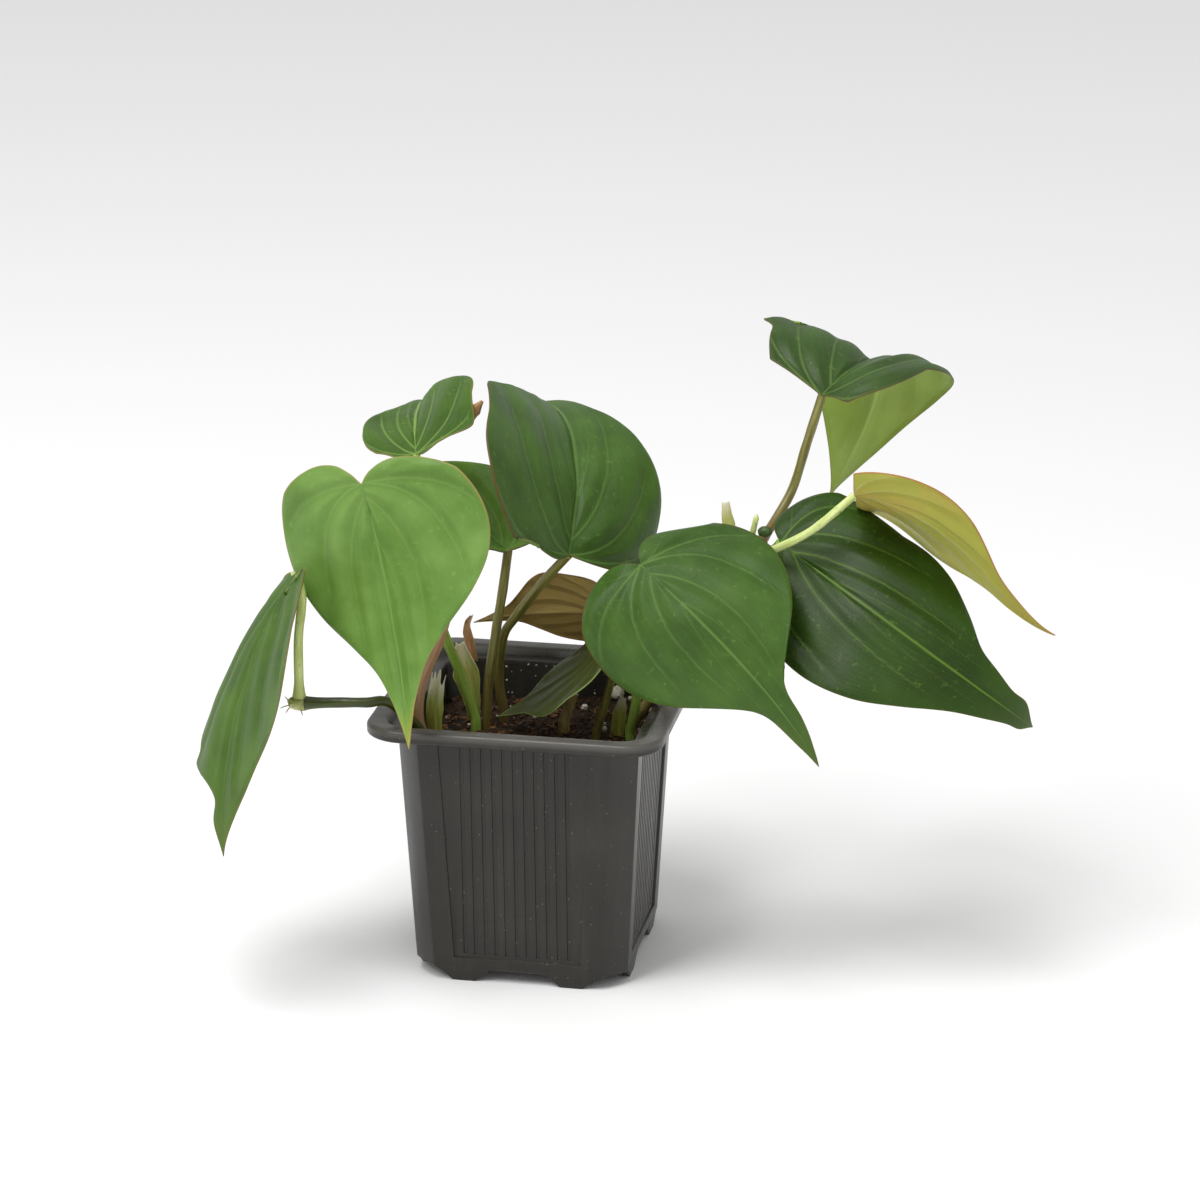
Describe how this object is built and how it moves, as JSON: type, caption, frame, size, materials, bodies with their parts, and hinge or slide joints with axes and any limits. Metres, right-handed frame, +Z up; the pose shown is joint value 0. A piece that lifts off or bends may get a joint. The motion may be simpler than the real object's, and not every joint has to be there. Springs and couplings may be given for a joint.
{
  "type": "potted philodendron",
  "caption": "Heartleaf philodendron with dark heart-shaped leaves on slim stems, rooted in dark soil in a square black ribbed nursery pot with small feet.",
  "frame": {"origin": "on the floor under the middle of the whole plant's box", "axes": "+X to the plant's right as seen from the front, +Y to the back, +Z up out of the pot"},
  "size_m": [0.2234, 0.1504, 0.1675],
  "materials": {
    "pot_plastic": "satin",
    "soil": "matte",
    "perlite": "matte",
    "leaf_green": "satin",
    "leaf_young": "satin",
    "leaf_tan": "satin",
    "stem_green": "satin",
    "stem_pale": "satin",
    "stem_brown": "satin",
    "sheath_pale": "matte"
  },
  "bodies": {
    "root": {"pot": "pot_plastic", "soil": "soil", "perlite_1": "perlite", "perlite_2": "perlite", "perlite_3": "perlite", "perlite_4": "perlite", "perlite_5": "perlite", "perlite_6": "perlite", "leaf_low_left": "leaf_green", "leaf_front": "leaf_green", "leaf_top_left": "leaf_green", "leaf_behind": "leaf_green", "leaf_upright": "leaf_green", "leaf_dark": "leaf_green", "leaf_front_right": "leaf_green", "leaf_right": "leaf_green", "leaf_top_right": "leaf_green", "leaf_young": "leaf_young", "leaf_tan": "leaf_tan", "sheath_dry_tip": "leaf_tan", "vine_left": "stem_green", "petiole_top_left": "stem_green", "petiole_behind": "stem_green", "petiole_upright": "stem_green", "petiole_tan": "stem_green", "petiole_dark": "stem_green", "petiole_front_right": "stem_green", "petiole_right": "stem_green", "petiole_top_right": "stem_green", "bud_right": "stem_green", "petiole_low_left": "stem_pale", "petiole_young": "stem_pale", "petiole_front": "stem_brown", "vine_right": "stem_brown", "stub": "stem_brown", "node_left": "sheath_pale", "node_right": "sheath_pale", "sheath_ragged": "sheath_pale", "sheath_top_left": "sheath_pale", "sheath_right": "sheath_pale", "sheath_shoot": "sheath_pale", "spike_right": "sheath_pale"}
  },
  "joints": []
}
